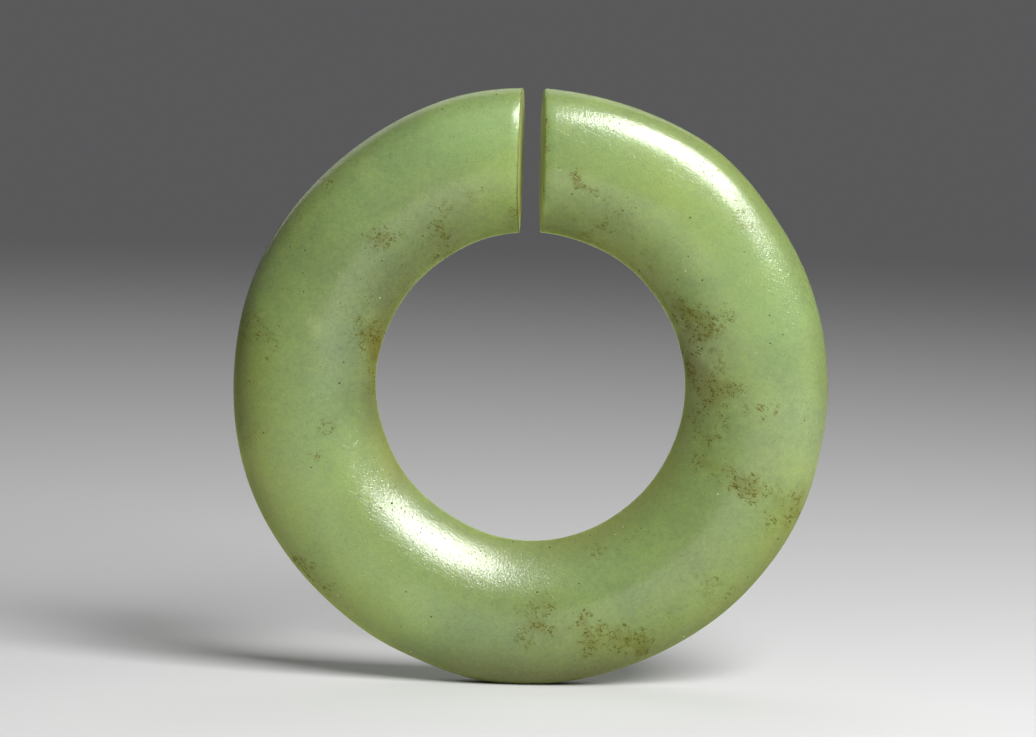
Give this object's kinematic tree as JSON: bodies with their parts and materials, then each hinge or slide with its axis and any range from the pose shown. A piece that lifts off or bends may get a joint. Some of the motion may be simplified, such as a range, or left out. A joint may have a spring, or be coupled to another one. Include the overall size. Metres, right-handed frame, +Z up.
{
  "type": "jade slit ring",
  "caption": "Thick ring of polished green nephrite with a lens-shaped section and one sawn slit, an ancient ear ornament of the jue type, standing on its rim.",
  "frame": {"origin": "on the floor, in the middle of the small flat at the bottom of the rim", "axes": "+Z up through the ring's middle to the slit, +Y from the show face to the back along the ring's own axis, +X to the right as seen from the front"},
  "size_m": [0.06, 0.0074, 0.0603],
  "materials": {
    "nephrite": "polished translucent green jade with brown speckled pits"
  },
  "bodies": {
    "root": {"slit_ring": "nephrite"}
  },
  "joints": []
}
